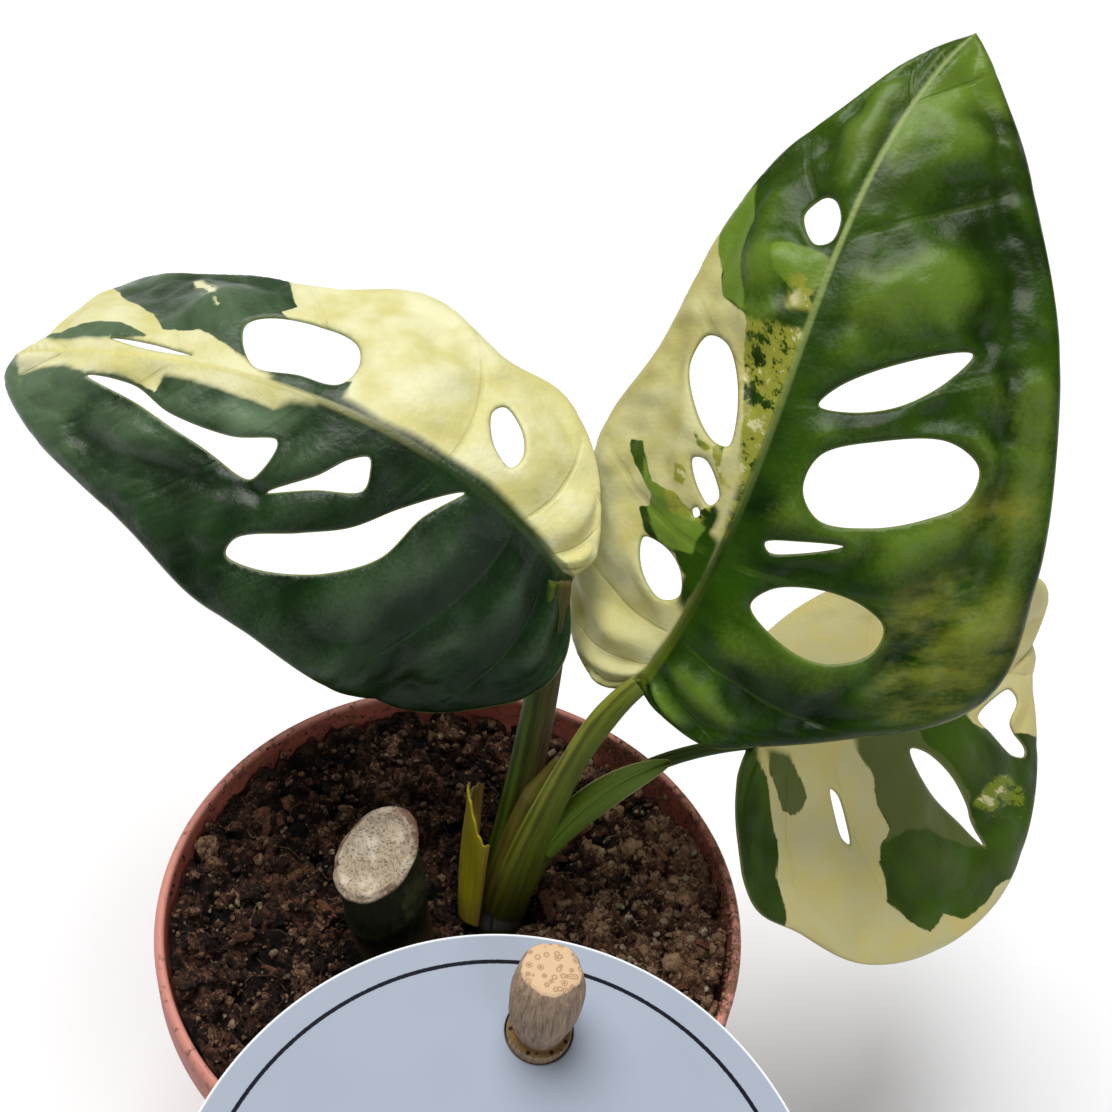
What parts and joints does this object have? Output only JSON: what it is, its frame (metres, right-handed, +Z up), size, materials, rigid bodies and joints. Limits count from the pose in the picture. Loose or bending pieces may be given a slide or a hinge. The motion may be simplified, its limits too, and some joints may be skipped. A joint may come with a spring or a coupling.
{
  "type": "potted variegated swiss cheese vine",
  "caption": "Young variegated swiss cheese vine with holed, half-cream leaves, rooted in soil in a small tapered nursery pot with a blank round card tag on a wooden stick.",
  "frame": {"origin": "middle of the pot's flat base, on the surface that the pot stands on", "axes": "+Z up; -Y towards the side that the leaves and the tag face; +X to the right seen from there"},
  "size_m": [0.1791, 0.18, 0.192],
  "materials": {
    "pot_plastic": "satin moulded plastic, brick red, darker inside, dusted with soil at the mouth",
    "potting_soil": "loose damp peat and bark crumbs",
    "old_cane": "dark olive bark with a pale tan callus on the cut face",
    "green_stem": "smooth waxy green stem, browner at its foot",
    "sheath": "smooth light green with a paler edge",
    "papery_scale": "dry yellow olive with brown torn tips",
    "variegated_leaf": "glossy dark green with sectors, streaks and flecks of cream",
    "card": "smooth white coated card with one thin dark ring line",
    "raw_wood": "unfinished cane wood with porous end grain"
  },
  "bodies": {
    "root": {"pot": "pot_plastic", "soil": "potting_soil", "cane": "old_cane", "shoot": "green_stem", "sheath_low": "sheath", "scale_leaf": "papery_scale", "leaf_left": "variegated_leaf", "leaf_right": "variegated_leaf", "leaf_low": "variegated_leaf", "tag_card": "card", "tag_stick": "raw_wood"}
  },
  "joints": []
}
